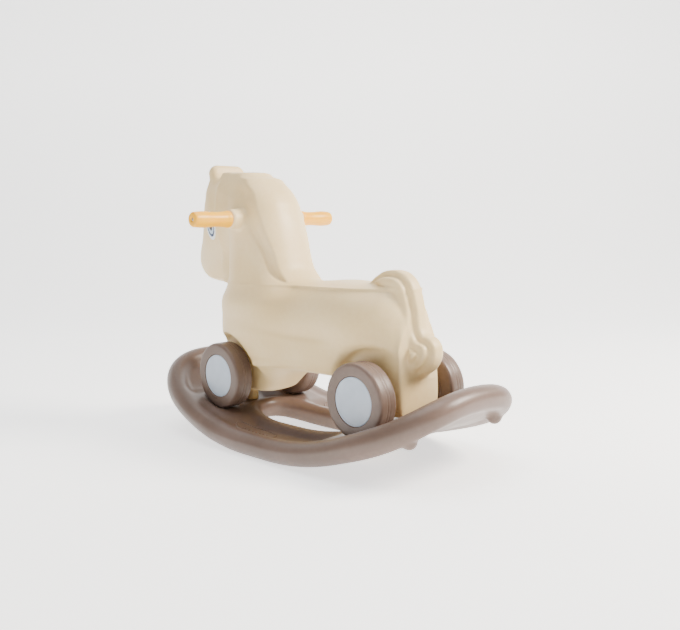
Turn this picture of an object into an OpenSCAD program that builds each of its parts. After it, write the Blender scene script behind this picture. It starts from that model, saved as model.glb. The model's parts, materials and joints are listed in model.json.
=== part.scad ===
// Toddler rocking horse on wheels, with a rocker base that comes off.
// X points to the nose, Y to the rider's left, Z up. The origin is on the floor under the
// middle of the base. Millimetres.

/* [Rocker base] */
// Length of the rocker base, nose to tail
base_l = 732; // [640:1:840]
// Width of the rocker base
base_w = 334; // [320:1:400]
// Radius of the rocking curve under the base
rocker_r = 530; // [480:5:650]
// Length of the flat stretch on which the base stands level
rest_flat = 60; // [40:5:90]
// Diameter of the tube round the edge
rim_d = 40; // [34:1:46]
// Height of the deck above the rocking curve
deck_h = 27; // [22:1:30]
// Height of the ridge round the middle opening
ridge_h = 46; // [40:1:52]
// Width of the ridge round the middle opening
ridge_w = 32; // [26:1:36]
// Length of the middle opening
opening_l = 320; // [240:5:340]
// Width of the middle opening
opening_w = 112; // [80:1:116]
// Where the middle of the opening lies along the base
opening_x = -18; // [-30:1:0]
// Rise of the deck round the front and rear wheels
cradle_h = 24; // [10:1:30]
// Width of the flat runner under the edge tube
runner_w = 16; // [10:1:18]
// Wall of the hollow base
base_wall = 3.5; // [2.5:0.5:5]
// Diameter of the stop nubs under the rear end
nub_d = 25; // [18:1:30]
// How far the stop nubs stand below the rocking curve
nub_drop = 20; // [10:1:25]
// Distance between the stop nubs
nub_span = 214; // [160:1:230]

/* [Wheels] */
// Distance between the axles
wheelbase = 360; // [330:1:380]
// Where the front axle lies along the base
front_axle_x = 169; // [150:1:185]
// Diameter of a wheel
wheel_d = 124; // [112:1:136]
// Width of a wheel
wheel_w = 37; // [30:1:42]
// Distance between the inner faces of a pair of wheels
track_in = 136; // [130:1:146]
// Height of the axles above the floor
axle_z = 116; // [112:1:126]
// Diameter of the steel axles
axle_d = 10; // [8:0.5:12]
// Diameter of the hub disc
disc_d = 80; // [64:1:84]
// Thickness of the hub disc
disc_t = 2.5; // [2:0.5:4]
// Radius of a wheel's rounded shoulders
shoulder_r = 13; // [8:1:14]
// Diameter of the push-on cap that holds a wheel on its axle
cap_d = 20; // [16:1:24]
// Wall of the hollow wheels
wheel_wall = 3; // [2.5:0.5:4]

/* [Horse] */
// Height of the seat above the floor
seat_z = 292; // [280:1:310]
// Width of the horse at the flanks
flank_w = 176; // [160:1:186]
// Width of the body between a pair of wheels
belly_w = 100; // [90:1:106]
// Radius of the arch over a rear wheel
rear_arch_r = 80; // [74:1:86]
// Radius of the arch over a front wheel
front_arch_r = 76; // [72:1:84]
// Height of the top of the ears above the seat
ears_above = 226; // [200:1:250]
// Wall of the hollow horse
horse_wall = 3; // [2.5:0.5:4]
// Width of the ear block
ears_w = 80; // [60:1:90]
// Length of the oval eye
eye_l = 62; // [50:1:66]
// Width of the oval eye
eye_w = 40; // [32:1:44]
// Thickness of the eye plate
eye_t = 1; // [0.8:0.1:1.5]
// Diameter of the vent hole in the belly
vent_d = 10; // [6:1:14]

/* [Handlebar] */
// Where the handlebar lies along the base
bar_x = 142; // [136:1:150]
// Height of the handlebar above the seat
bar_above = 117; // [108:1:124]
// Diameter of the steel bar
bar_d = 16; // [12:1:18]
// Distance from grip end to grip end
bar_span = 340; // [320:1:370]
// Diameter of a grip
grip_d = 30; // [26:1:34]
// Diameter of the collar at the inner end of a grip
collar_d = 36; // [33:1:42]
// Distance from the middle of the head to a grip
grip_from = 77; // [72:1:82]
// Diameter of the raised ring on the head round the bar
boss_d = 42; // [38:1:48]

/* [Fixings] */
// Diameter of the locking pegs between horse and base
peg_d = 24; // [20:1:28]
// Diameter of the peg screws
screw_d = 6; // [5:0.5:8]
// Radial clearance of a turning fit
turn_gap = 0.05; // [0.02:0.01:0.08]
// Gap between pieces that move past each other
air_gap = 0.3; // [0.2:0.1:0.6]

/* [Hidden] */
cream = "#F1E5C9";
taupe = "#8A7366";
yellow = "#FCC418";
steel = "#B9BCC0";
nylon = "#3E3A37";
round_fn = 72;
rear_axle_x = front_axle_x - wheelbase;
bar_z = seat_z + bar_above;
rim_r = rim_d / 2;
half_rest = rest_flat / 2;
rear_peg_x = rear_axle_x - 34;
front_peg_x = front_axle_x + 30;
deck_squareness = 3.2;
underside_h = 6;
spigot_r = peg_d / 2 - 4;
spigot_l = 6;
washer_d = 18;
opening_squareness = 2.6;
// Where the axles and the pegs lie along the base
axle_xs = [front_axle_x, rear_axle_x];
peg_xs = [front_peg_x, rear_peg_x];
// Outer faces of the body between the wheels, of the bushes and of the wheels
belly_y = belly_w / 2;
wheel_in = track_in / 2;
wheel_out = wheel_in + wheel_w;
// The bushes: a spigot in the body and a long collar up to the wheel
bush_r = axle_d / 2 + 3;
bush_collar_r = axle_d / 2 + 6;
bush_l = 14;
// A hub's bore ends at its cap's seat, and the cap lies under the disc
disc_in = wheel_out - 1 - disc_t;
cap_t = 5;
cap_seat = disc_in - cap_t - 4;
axle_end = cap_seat + cap_t - 1;
// The head's flat sides carry the bar's rings and the eyes
boss_y = grip_from - air_gap;
eye_x = bar_x + 131;
eye_y = 54;
eye_z = bar_z - 6;
grip_l = bar_span / 2 - grip_from;
bar_end = bar_span / 2 - 6;
ears_z = seat_z + ears_above;
horse_bottom = axle_z - 34;
leg_bottom = axle_z - 36;
vent_x = rear_axle_x + 115;
base_vent_y = (opening_w / 2 + ridge_w + base_w / 2 - rim_d) / 2;

// ---------------------------------------------------------------- shared maths

// Height of the rocking curve above the floor at x
function rise(x) = let (d = max(abs(x) - half_rest, 0)) rocker_r - sqrt(rocker_r * rocker_r - d * d);

// A soft step from 0 to 1 as t goes from 0 to 1
function soft(t) = let (s = min(max(t, 0), 1)) s * s * (3 - 2 * s);

// A cosine or sine bent towards a rounded rectangle
function squared(v, n) = sign(v) * pow(abs(v), 2 / n);

// A ring of points round centre c: half sizes a along u and b along v, squareness n
function ring(c, u, v, a, b, n, count = 24) =
    [for (i = [0 : count - 1]) let (t = 360 * i / count)
        c + u * a * squared(cos(t), n) + v * b * squared(sin(t), n)];

// A closed skin over rings of equal count, turning outwards where u x v points along the rings
module skin(rings) {
    count = len(rings[0]);
    last = len(rings) - 1;
    sides = [for (r = [0 : last - 1]) for (i = [0 : count - 1]) let (j = (i + 1) % count)
        [r * count + i, (r + 1) * count + i, (r + 1) * count + j, r * count + j]];
    polyhedron(points = [for (r = rings) for (p = r) p],
        faces = concat(sides,
            [[for (i = [0 : count - 1]) i]],
            [[for (i = [count - 1 : -1 : 0]) last * count + i]]), convexity = 8);
}

// A skin over level sections [z, back x, front x, half width, squareness], made smaller by inset
module level_skin(sections, inset = 0) {
    last = len(sections) - 1;
    skin([for (k = [0 : last]) let (s = sections[k],
            z = s[0] + (k == 0 ? inset : 0) - (k == last ? inset : 0))
        ring([(s[1] + s[2]) / 2, 0, z], [1, 0, 0], [0, 1, 0],
            (s[2] - s[1]) / 2 - inset, s[3] - inset, s[4])]);
}

// A skin over upright sections [x, bottom z, top z, half width, squareness], made smaller by inset
module upright_skin(sections, inset = 0) {
    last = len(sections) - 1;
    skin([for (k = [0 : last]) let (s = sections[k],
            x = s[0] + (k == 0 ? inset : 0) - (k == last ? inset : 0))
        ring([x, 0, (s[1] + s[2]) / 2], [0, 1, 0], [0, 0, 1],
            s[3] - inset, (s[2] - s[1]) / 2 - inset, s[4])]);
}

// A cylinder of radius r along Y, from y = from to y = to, at x and z
module along_y(r, from, to, x, z, fn = round_fn) {
    translate([x, from, z]) rotate([-90, 0, 0]) cylinder(r = r, h = to - from, $fn = fn);
}

// Its children, and the same again on the rider's right
module both_sides() {
    children();
    mirror([0, 1, 0]) children();
}

// ---------------------------------------------------------------- rocker base

// Half length and half width of the base, drawn in by inset
function edge_a(inset) = base_l / 2 - inset;
function edge_b(inset) = base_w / 2 - inset;

// How far the deck swells up round the wheels at x, y
function cradle(x, y) = cradle_h * max([for (ax = axle_xs)
    soft(1.9 - abs(x - ax) / 52) * soft(1.8 - abs(abs(y) - track_in / 2 - wheel_w / 2) / 26)]);

// Section of the base, from the bottom of the edge tube round to the bottom of the opening.
// Each step is [mix, inward distance, height, lift, outward distance]: mix 0 lies on the outline,
// mix 1 on the edge of the opening, and lift is how much of the cradle the step takes.
function section_points(inset) =
    let (rr = rim_r - inset, ridge_r = ridge_w / 2 - inset, ridge_c = ridge_h - ridge_w / 2,
        deck = deck_h - inset, under = underside_h + inset,
        rim_in = rim_r + sqrt(max(rr * rr - pow(deck - rim_r, 2), 1)),
        ridge_out = ridge_w / 2 + sqrt(max(ridge_r * ridge_r - pow(max(deck - ridge_c, 0), 2), 1)))
    concat(
        [for (k = [1, -1]) [0, rim_r + k * runner_w / 2, inset, 0, 0]],
        [for (t = [30 : 30 : 150]) [0, rim_r - rr * sin(t), rim_r - rr * cos(t), 0, 0]],
        [[0, rim_r, rim_r + rr, 0.15, 0], [0, rim_in - 6, rim_r + rr * 0.82, 0.4, 0]],
        [for (k = [0 : 3]) [k / 3, rim_in, deck, 1, ridge_out]],
        [for (t = [45 : 45 : 180]) [1, 0, ridge_c + ridge_r * sin(t), 0.5, ridge_w / 2 + ridge_r * cos(t)]],
        [[1, 0, under, 0, inset], [1, 0, under, 0, ridge_w], [0, rim_d, under, 0, 0]]);

// The point of the base at angle t round it, for one step of the section
function base_point(t, s) =
    let (mix = s[0], a0 = edge_a(s[1]), b0 = edge_b(s[1]),
        a1 = opening_l / 2 + s[4], b1 = opening_w / 2 + s[4],
        p0 = [a0 * squared(cos(t), deck_squareness), b0 * squared(sin(t), deck_squareness)],
        p1 = [opening_x + a1 * squared(cos(t), opening_squareness),
            b1 * squared(sin(t), opening_squareness)],
        p = p0 * (1 - mix) + p1 * mix)
    [p[0], p[1], rise(p[0]) + s[2] + s[3] * cradle(p[0], p[1])];

// Angles of half the rings round the base: even steps, with one ring at each end of the flat
function half_turn(per_quarter) =
    let (flat_end = acos(pow(half_rest / edge_a(0), deck_squareness / 2)),
        even = [for (i = [0 : per_quarter - 1]) 90 * i / per_quarter])
    concat(even, [flat_end, 180 - flat_end], [for (i = [per_quarter - 1 : -1 : 1]) 180 - even[i]]);

// A closed loop of the section round the opening, made smaller by inset
module base_loop(inset = 0) {
    steps = section_points(inset);
    n = len(steps);
    angles = [for (side = [0, 180]) each [for (t = half_turn(13)) side + t]];
    turns = len(angles);
    polyhedron(
        points = [for (t = angles) for (s = steps) base_point(t, s)],
        faces = [for (i = [0 : turns - 1]) for (k = [0 : n - 1])
            let (i2 = (i + 1) % turns, k2 = (k + 1) % n)
            each [[i * n + k, i2 * n + k2, i2 * n + k], [i * n + k, i * n + k2, i2 * n + k2]]],
        convexity = 12);
}

// The space that a wheel sinks into, with a wall of grow round it
module wheel_well(x, grow = 0) {
    along_y(wheel_d / 2 + air_gap + grow, track_in / 2 - 1.5 - grow,
        track_in / 2 + wheel_w + 1.5 + grow, x, axle_z, 64);
}

// A stop nub under the rear end of the base, with its root inside the tube
module stop_nub() {
    nub_x = -base_l / 2 + 54;
    nub_z = rise(nub_x);
    translate([nub_x, nub_span / 2, nub_z - nub_drop + nub_d / 2]) sphere(d = nub_d, $fn = 24);
    translate([nub_x, nub_span / 2, nub_z - nub_drop + nub_d / 2])
        cylinder(d = nub_d, h = nub_drop - nub_d / 2 + 8, $fn = 24);
}

// Height of the flat seat on the deck that a peg stands on
function peg_seat(x) = rise(x) + deck_h - 2;
// Height of the flat seat under the base that a peg's washer bears on
function washer_seat(x) = rise(x) + underside_h + 3;

// A round space at x from the floor up to z = top
module cylinder_below(x, top, r) {
    translate([x, 0, -1]) cylinder(r = r, h = top + 1, $fn = round_fn);
}

module rocker_base() {
    color(taupe) difference() {
        resize([0, 0, 0]) union() {
            difference() {
                base_loop();
                base_loop(base_wall);
            }
            intersection() {
                base_loop();
                union() {
                    both_sides() for (x = axle_xs) wheel_well(x, base_wall);
                    for (x = peg_xs) translate([x, 0, 0]) cylinder(r = peg_d / 2 + 2, h = axle_z, $fn = 32);
                }
            }
            both_sides() stop_nub();
        }
        both_sides() for (x = axle_xs) wheel_well(x);
        for (x = peg_xs) {
            translate([x, 0, 0]) cylinder(r = screw_d / 2 + air_gap, h = axle_z, $fn = round_fn);
            translate([x, 0, peg_seat(x) - spigot_l])
                cylinder(r = spigot_r + turn_gap, h = axle_z, $fn = round_fn);
            translate([x, 0, peg_seat(x)]) cylinder(r = peg_d / 2 + air_gap, h = axle_z, $fn = round_fn);
            cylinder_below(x, washer_seat(x), washer_d / 2 + 1);
        }
        translate([0, base_vent_y, -1]) cylinder(d = vent_d, h = (underside_h + deck_h) / 2, $fn = 24);
    }
}

// ---------------------------------------------------------------- horse shell

// Trunk from rump to chest
module trunk(inset = 0) {
    w = flank_w / 2;
    s = seat_z;
    r = rear_axle_x;
    upright_skin([
        [r - 49, s - 138, s - 62, w * 0.42, 2.6],
        [r - 44, s - 143, s - 42, w * 0.60, 2.6],
        [r - 30, s - 147, s - 20, w * 0.78, 2.7],
        [r - 8, s - 148, s - 3, w * 0.92, 2.8],
        [r + 40, s - 140, s + 4, w, 2.8],
        [r + 100, s - 130, s + 7, w, 2.8],
        [r + 155, s - 134, s + 3, w, 2.8],
        [r + 210, s - 142, s + 1, w, 2.8],
        [r + 260, s - 148, s + 6, w * 0.98, 2.8],
        [r + 320, s - 150, s + 10, w * 0.95, 2.7],
        [r + 365, s - 150, s + 4, w * 0.86, 2.6],
        [r + 398, s - 140, s - 14, w * 0.66, 2.5],
        [r + 414, s - 112, s - 44, w * 0.36, 2.4]
    ], inset);
}

// Block between the rear wheels
module rear_block(inset = 0) {
    r = rear_axle_x;
    level_skin([
        [horse_bottom, r - 40, r + 44, belly_y - 8, 5],
        [horse_bottom + 5, r - 47, r + 49, belly_y - 2, 6],
        [horse_bottom + 16, r - 49, r + 52, belly_y, 7],
        [seat_z - 90, r - 49, r + 60, belly_y, 7]
    ], inset);
}

// Front leg: a block between the front wheels whose back is round, wider and longer higher up
module front_leg(inset = 0) {
    f = front_axle_x;
    level_skin([
        [leg_bottom, f - 62, f + 46, belly_y - 12, 2.6],
        [leg_bottom + 5, f - 72, f + 50, belly_y - 4, 2.8],
        [leg_bottom + 16, f - 85, f + 52, belly_y, 3],
        [leg_bottom + 28, f - 97, f + 53, belly_y + 2, 3],
        [leg_bottom + 40, f - 112, f + 54, belly_y + 5, 3],
        [leg_bottom + 54, f - 134, f + 54, belly_y + 9, 3],
        [seat_z - 90, f - 175, f + 54, belly_y + 20, 3]
    ], inset);
}

// Belly: it keeps the flanks upright down to the fold where they turn under
module belly(inset = 0) {
    r = rear_axle_x;
    w = flank_w / 2;
    level_skin([
        [seat_z - 152, r + 62, r + 236, w * 0.66, 5],
        [seat_z - 146, r + 50, r + 280, w * 0.82, 5],
        [seat_z - 134, r + 42, r + 318, w * 0.91, 5],
        [seat_z - 114, r + 36, r + 340, w * 0.95, 5],
        [seat_z - 90, r + 34, r + 348, w * 0.96, 5]
    ], inset);
}

// Neck, thinner towards the top
module neck(inset = 0) {
    w = flank_w / 2;
    s = seat_z;
    b = bar_x;
    level_skin([
        [s - 40, b - 150, b + 74, w * 0.94, 2.6],
        [s - 4, b - 112, b + 72, w * 0.90, 2.5],
        [s + 20, b - 84, b + 70, w * 0.84, 2.4],
        [s + 44, b - 72, b + 68, w * 0.79, 2.3],
        [s + 80, b - 60, b + 72, w * 0.76, 2.3],
        [s + 122, b - 42, b + 92, w * 0.75, 2.3],
        [s + 164, b - 6, b + 108, w * 0.66, 2.3],
        [s + 190, b + 28, b + 112, w * 0.50, 2.2],
        [s + 202, b + 52, b + 104, w * 0.26, 2.2]
    ], inset);
}

// Head, from the chin to the crown
module head(inset = 0) {
    s = seat_z;
    b = bar_x;
    level_skin([
        [s - 4, b + 84, b + 164, 30, 2.8],
        [s + 2, b + 62, b + 180, 39, 2.8],
        [s + 14, b + 46, b + 194, 45, 2.8],
        [s + 32, b + 34, b + 200, 49, 2.7],
        [s + 54, b + 26, b + 188, 52, 2.7],
        [s + 82, b + 20, b + 162, 56, 2.7],
        [s + 129, b + 20, b + 150, 61, 2.7],
        [s + 158, b + 26, b + 147, 59, 2.7],
        [s + 188, b + 42, b + 140, 50, 2.6],
        [s + 204, b + 64, b + 128, 30, 2.5]
    ], inset);
}

// Both ears, moulded in one block that leans forward
module ears() {
    w = ears_w / 2;
    b = bar_x;
    level_skin([
        [seat_z + 160, b + 96, b + 132, w - 1, 4],
        [seat_z + 188, b + 104, b + 133, w, 4],
        [ears_z - 8, b + 112, b + 137, w, 4],
        [ears_z - 2, b + 113, b + 136, w - 4, 4],
        [ears_z, b + 116, b + 133, w - 10, 4]
    ]);
}

// Mane: a raised band down the back of the neck
module mane() {
    s = seat_z;
    b = bar_x;
    level_skin([
        [s - 10, b - 110, b - 40, 34, 3],
        [s + 26, b - 84, b - 30, 37, 3],
        [s + 76, b - 74, b - 14, 38, 3],
        [s + 122, b - 55, b + 30, 36, 3],
        [s + 168, b - 15, b + 84, 32, 3],
        [s + 194, b + 20, b + 100, 28, 3],
        [s + 205, b + 48, b + 96, 20, 3]
    ]);
}

// Tail: a raised ridge down the rump that ends in a curl
module tail() {
    r = rear_axle_x;
    s = seat_z;
    level_skin([
        [s - 146, r - 76, r - 52, 20, 2.4],
        [s - 138, r - 88, r - 44, 32, 2.4],
        [s - 122, r - 97, r - 30, 41, 2.4],
        [s - 104, r - 98, r - 30, 43, 2.4],
        [s - 86, r - 90, r - 30, 42, 2.4],
        [s - 66, r - 76, r - 20, 40, 2.4],
        [s - 40, r - 66, r - 10, 38, 2.4],
        [s - 14, r - 54, r + 10, 37, 2.4],
        [s + 10, r - 34, r + 34, 34, 2.4],
        [s + 24, r - 12, r + 24, 22, 2.4]
    ]);
}

// The whole outside of the horse, or its inside when inset by the wall
module horse_form(inset = 0) {
    trunk(inset);
    rear_block(inset);
    front_leg(inset);
    belly(inset);
    neck(inset);
    head(inset);
}

// The room over one wheel, outside the body
module arch(x, r, grow = 0) {
    along_y(r + grow, belly_y - grow, flank_w, x, axle_z, 64);
}

// A flat oval on the side of the head that an eye plate lies on
module eye_oval(from, to, grow = 0) {
    translate([eye_x, from, eye_z]) rotate([-90, 0, 0]) linear_extrude(to - from)
        polygon([for (t = [0 : 10 : 350])
            [(eye_w / 2 + grow) * cos(t), (eye_l / 2 + grow) * sin(t)]]);
}

module horse_shell() {
    wall = horse_wall;
    color(cream) difference() {
        union() {
            resize([0, 0, 0]) union() {
                difference() {
                    union() {
                        horse_form();
                        mane();
                        ears();
                        tail();
                    }
                    both_sides() {
                        arch(rear_axle_x, rear_arch_r);
                        arch(front_axle_x, front_arch_r);
                    }
                    translate([vent_x, 0, axle_z]) cylinder(d = vent_d, h = seat_z - 40 - axle_z, $fn = 24);
                    difference() {
                        horse_form(wall);
                        both_sides() {
                            arch(rear_axle_x, rear_arch_r, wall);
                            arch(front_axle_x, front_arch_r, wall);
                        }
                    }
                }
                both_sides() eye_oval(eye_y - 16, eye_y, 3);
            }
            for (x = axle_xs) along_y(bush_r + 5, -belly_y, belly_y, x, axle_z);
            along_y(boss_d / 2, -boss_y, boss_y, bar_x, bar_z);
            for (x = peg_xs) translate([x, 0, peg_top(x)])
                cylinder(r = peg_d / 2 + 4, h = 40, $fn = round_fn);
        }
        for (x = axle_xs) {
            both_sides() along_y(bush_r + turn_gap, belly_y - bush_l, flank_w, x, axle_z);
            along_y(axle_d / 2 + 1, -belly_y, belly_y, x, axle_z);
        }
        along_y(bar_d / 2 + turn_gap, -flank_w, flank_w, bar_x, bar_z);
        both_sides() eye_oval(eye_y, flank_w, air_gap);
    }
}

// ---------------------------------------------------------------- axles and wheels

module axle(x) {
    color(steel) along_y(axle_d / 2, -axle_end, axle_end, x, axle_z);
}

// Two flanged bushes: each has a spigot in the body and a collar up to the wheel
module axle_bushes(x) {
    color(nylon) both_sides() difference() {
        union() {
            along_y(bush_r, belly_y - bush_l, belly_y, x, axle_z);
            along_y(bush_collar_r, belly_y, wheel_in - air_gap, x, axle_z);
        }
        along_y(axle_d / 2 + turn_gap, 0, wheel_in + 1, x, axle_z);
    }
}

// Outline of half a wheel, radius across and depth up, before its hollow is taken out
module wheel_outline(inset = 0) {
    r = wheel_d / 2;
    translate([0, inset]) difference() {
        union() {
            translate([0, shoulder_r]) square([r - inset, wheel_w - 2 * shoulder_r - inset]);
            square([r - shoulder_r, wheel_w - 2 * inset]);
            for (z = [shoulder_r, wheel_w - shoulder_r - 2 * inset]) translate([r - shoulder_r, z])
                circle(r = shoulder_r - inset, $fn = 48);
        }
        translate([-r, -wheel_w]) square([r, 3 * wheel_w]);
    }
}

// A hollow wheel with a hub, a seat for its disc and a well for the cap
module wheel(x) {
    hub_r = cap_d / 2 + 4;
    color(taupe) translate([x, 0, axle_z]) rotate([-90, 0, 0]) translate([0, 0, wheel_in])
        rotate_extrude($fn = 96) difference() {
            wheel_outline();
            difference() {
                wheel_outline(wheel_wall);
                square([hub_r + wheel_wall, wheel_w]);
                translate([0, disc_in - wheel_in - wheel_wall]) square([disc_d / 2 + wheel_wall, wheel_w]);
            }
            square([axle_d / 2 + turn_gap, wheel_w]);
            translate([0, cap_seat - wheel_in]) square([hub_r, wheel_w]);
            translate([0, disc_in - wheel_in]) square([disc_d / 2 + air_gap, wheel_w]);
        }
}

// The pale disc in a wheel's face, with a short spigot that goes into the hub's well
module hub_disc(x) {
    lip_l = 3;
    color("#C3C8CE") difference() {
        union() {
            along_y(disc_d / 2, disc_in, disc_in + disc_t, x, axle_z);
            along_y(cap_d / 2 + 4 - turn_gap, disc_in - lip_l, disc_in, x, axle_z);
        }
        along_y(cap_d / 2 + 1, disc_in - lip_l, disc_in, x, axle_z);
    }
}

// Push-on caps that keep both wheels on an axle
module axle_caps(x) {
    color(steel) both_sides() difference() {
        along_y(cap_d / 2, cap_seat + air_gap, cap_seat + cap_t, x, axle_z);
        along_y(axle_d / 2, cap_seat, axle_end, x, axle_z);
    }
}

// ---------------------------------------------------------------- handlebar

module handlebar_rod() {
    color(steel) difference() {
        along_y(bar_d / 2, -bar_end, bar_end, bar_x, bar_z);
        both_sides() along_y(screw_d / 2 - 0.5, bar_end - 14, bar_end, bar_x, bar_z);
    }
}

// Grip on the rider's left: a collar, a waist, a swollen middle and a round end
module grip() {
    r = grip_d / 2;
    bore = bar_end - grip_from + turn_gap;
    color(yellow) translate([bar_x, 0, bar_z]) rotate([-90, 0, 0]) translate([0, 0, grip_from])
        rotate_extrude($fn = 72) difference() {
            union() {
                square([collar_d / 2, 4]);
                polygon(concat([[0, 0]],
                    [for (k = [0 : 8]) [r - 2 + 2 * sin(180 * k / 8), 4 + (grip_l - 10) * k / 8]],
                    [[0, grip_l - 6]]));
                translate([0, grip_l - 8]) square([r - 8, 8]);
                translate([r - 8, grip_l - 8]) intersection() {
                    circle(r = 8, $fn = 48);
                    translate([-8, 0]) square([16, 8]);
                }
            }
            square([bar_d / 2 + turn_gap, bore]);
            square([screw_d / 2 + air_gap, grip_l + 1]);
            translate([0, grip_l - 2.5]) square([screw_d - 0.5, 4]);
            translate([-grip_d, -1]) square([grip_d, grip_l + 2]);
        }
}

// One screw through each grip's end into the bar
module grip_screws() {
    head_y = bar_span / 2 - 2.5;
    color(steel) both_sides() difference() {
        union() {
            along_y(screw_d / 2 - 0.5 - turn_gap, bar_end - 12, head_y, bar_x, bar_z);
            along_y(screw_d - 1, head_y, head_y + 2, bar_x, bar_z);
        }
        for (a = [0, 90]) translate([bar_x, head_y + 1.5, bar_z]) rotate([0, a, 0])
            cube([1.2, 2, 6], center = true);
    }
}

// ---------------------------------------------------------------- eyes

module eye_plate() {
    color("white") eye_oval(eye_y, eye_y + eye_t);
}

// ---------------------------------------------------------------- pegs

// A locking peg: a shank from the horse's underside to the deck and a spigot in the base
module peg(x, top) {
    color(cream) difference() {
        union() {
            translate([x, 0, peg_seat(x)]) cylinder(d = peg_d, h = top - peg_seat(x), $fn = round_fn);
            translate([x, 0, peg_seat(x) - spigot_l]) cylinder(r = spigot_r, h = spigot_l + 1, $fn = round_fn);
        }
        translate([x, 0, peg_seat(x) - spigot_l]) cylinder(d = screw_d, h = 14, $fn = round_fn);
    }
}

// Where the underside of the horse meets a peg
function peg_top(x) = x > 0 ? leg_bottom : horse_bottom;
// Screws from under the base into the pegs
module peg_screws() {
    color(steel) for (x = peg_xs) difference() {
        union() {
            translate([x, 0, washer_seat(x) - 2])
                cylinder(d = screw_d - 0.2, h = peg_seat(x) - washer_seat(x) + 8, $fn = round_fn);
            translate([x, 0, washer_seat(x) - 5]) cylinder(d = screw_d + 5, h = 3, $fn = round_fn);
        }
        for (a = [0, 90]) translate([x, 0, washer_seat(x) - 5]) rotate([0, 0, a])
            cube([1.4, 7, 3], center = true);
    }
}

// Broad washers between the screw heads and the base
module peg_washers() {
    color(steel) for (x = peg_xs) translate([x, 0, washer_seat(x) - 2]) difference() {
        cylinder(d = washer_d, h = 2, $fn = round_fn);
        translate([0, 0, -1]) cylinder(r = screw_d / 2 + air_gap, h = 4, $fn = round_fn);
    }
}

rocker_base();
horse_shell();
axle(front_axle_x);  // front_axle
axle(rear_axle_x);  // rear_axle
axle_bushes(front_axle_x);  // front_axle_bushes
axle_bushes(rear_axle_x);  // rear_axle_bushes
wheel(front_axle_x);  // wheel_front_left
mirror([0, 1, 0]) wheel(front_axle_x);  // wheel_front_right
wheel(rear_axle_x);  // wheel_rear_left
mirror([0, 1, 0]) wheel(rear_axle_x);  // wheel_rear_right
hub_disc(front_axle_x);  // disc_front_left
mirror([0, 1, 0]) hub_disc(front_axle_x);  // disc_front_right
hub_disc(rear_axle_x);  // disc_rear_left
mirror([0, 1, 0]) hub_disc(rear_axle_x);  // disc_rear_right
axle_caps(front_axle_x);  // front_axle_caps
axle_caps(rear_axle_x);  // rear_axle_caps
handlebar_rod();
grip();  // grip_left
mirror([0, 1, 0]) grip();  // grip_right
grip_screws();
eye_plate();  // eye_left
mirror([0, 1, 0]) eye_plate();  // eye_right
peg(front_peg_x, peg_top(front_peg_x));  // front_peg
peg(rear_peg_x, peg_top(rear_peg_x));  // rear_peg
peg_screws();
peg_washers();
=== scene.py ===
# %% [markdown]
# # A rocking horse on wheels, in a rocker base
#
# This lesson builds the looks of a toddler's ride-on around a CAD model that is already fixed.
# The horse and the base are hollow blow-mouldings, so everything about them is soft: no edge is
# sharper than a few millimetres. The wheels, discs, grips and labels are small separate pieces.
#
# The CAD model gives every place. We only ask it where things are.

# %% Load the frame
import math

import bmesh
import bpy
import json
import numpy as np
from mathutils import Matrix, Vector


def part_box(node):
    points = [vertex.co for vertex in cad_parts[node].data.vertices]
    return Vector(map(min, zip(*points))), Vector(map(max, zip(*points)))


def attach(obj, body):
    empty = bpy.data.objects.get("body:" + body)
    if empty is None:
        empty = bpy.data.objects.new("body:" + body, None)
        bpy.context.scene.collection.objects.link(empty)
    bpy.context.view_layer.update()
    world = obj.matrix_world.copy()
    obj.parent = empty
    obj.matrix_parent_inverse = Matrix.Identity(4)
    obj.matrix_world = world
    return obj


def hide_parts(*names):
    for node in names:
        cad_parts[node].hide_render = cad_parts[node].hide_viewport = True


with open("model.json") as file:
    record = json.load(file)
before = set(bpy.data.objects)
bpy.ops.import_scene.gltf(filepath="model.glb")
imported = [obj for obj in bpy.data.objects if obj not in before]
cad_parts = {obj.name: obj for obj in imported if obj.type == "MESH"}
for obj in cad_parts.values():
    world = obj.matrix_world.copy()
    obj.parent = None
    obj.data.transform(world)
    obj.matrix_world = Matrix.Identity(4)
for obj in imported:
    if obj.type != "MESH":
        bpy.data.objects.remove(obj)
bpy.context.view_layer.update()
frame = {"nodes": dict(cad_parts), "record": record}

# %% [markdown]
# ## Places that the CAD model fixes
#
# Shapes are worked out in millimetres, because that is how a toolmaker thinks about plastic.
# Only the last step of each mesh turns them into Blender's metres.

# %% Read the sizes that the other pieces must meet
MM = 0.001


def span(node, axis):
    """Lowest and highest place of a CAD node along an axis, in millimetres."""
    low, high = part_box(node)
    return low[axis] / MM, high[axis] / MM


def middle(node, axis):
    """Middle of a CAD node along an axis, in millimetres."""
    return sum(span(node, axis)) / 2


front_x = middle("wheel_front_left", 0)
rear_x = middle("wheel_rear_left", 0)
axle_z = middle("wheel_rear_left", 2)
wheel_in, wheel_out = span("wheel_rear_left", 1)
wheel_r = (span("wheel_rear_left", 2)[1] - axle_z)
disc_r = (span("disc_rear_left", 2)[1] - axle_z)
disc_out = span("disc_rear_left", 1)[1]
bar_x = middle("handlebar_rod", 0)
bar_z = middle("handlebar_rod", 2)
grip_in, grip_out = span("grip_left", 1)
base_half_l = span("rocker_base", 0)[1]
base_half_w = span("rocker_base", 1)[1]
ears_top = span("horse_shell", 2)[1]
print("axles at", round(front_x), round(rear_x), "height", round(axle_z), "wheel radius", round(wheel_r))
print("bar at", round(bar_x), round(bar_z), "grip from", round(grip_in), "to", round(grip_out))

# %% [markdown]
# ## Camera, floor and light
#
# The camera looks at the horse from behind and to its left, a little above the seat. It is placed
# by the direction it looks along and how far it leans. A long-ish lens keeps the horse's
# proportions calm, as product photographs do.

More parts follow.
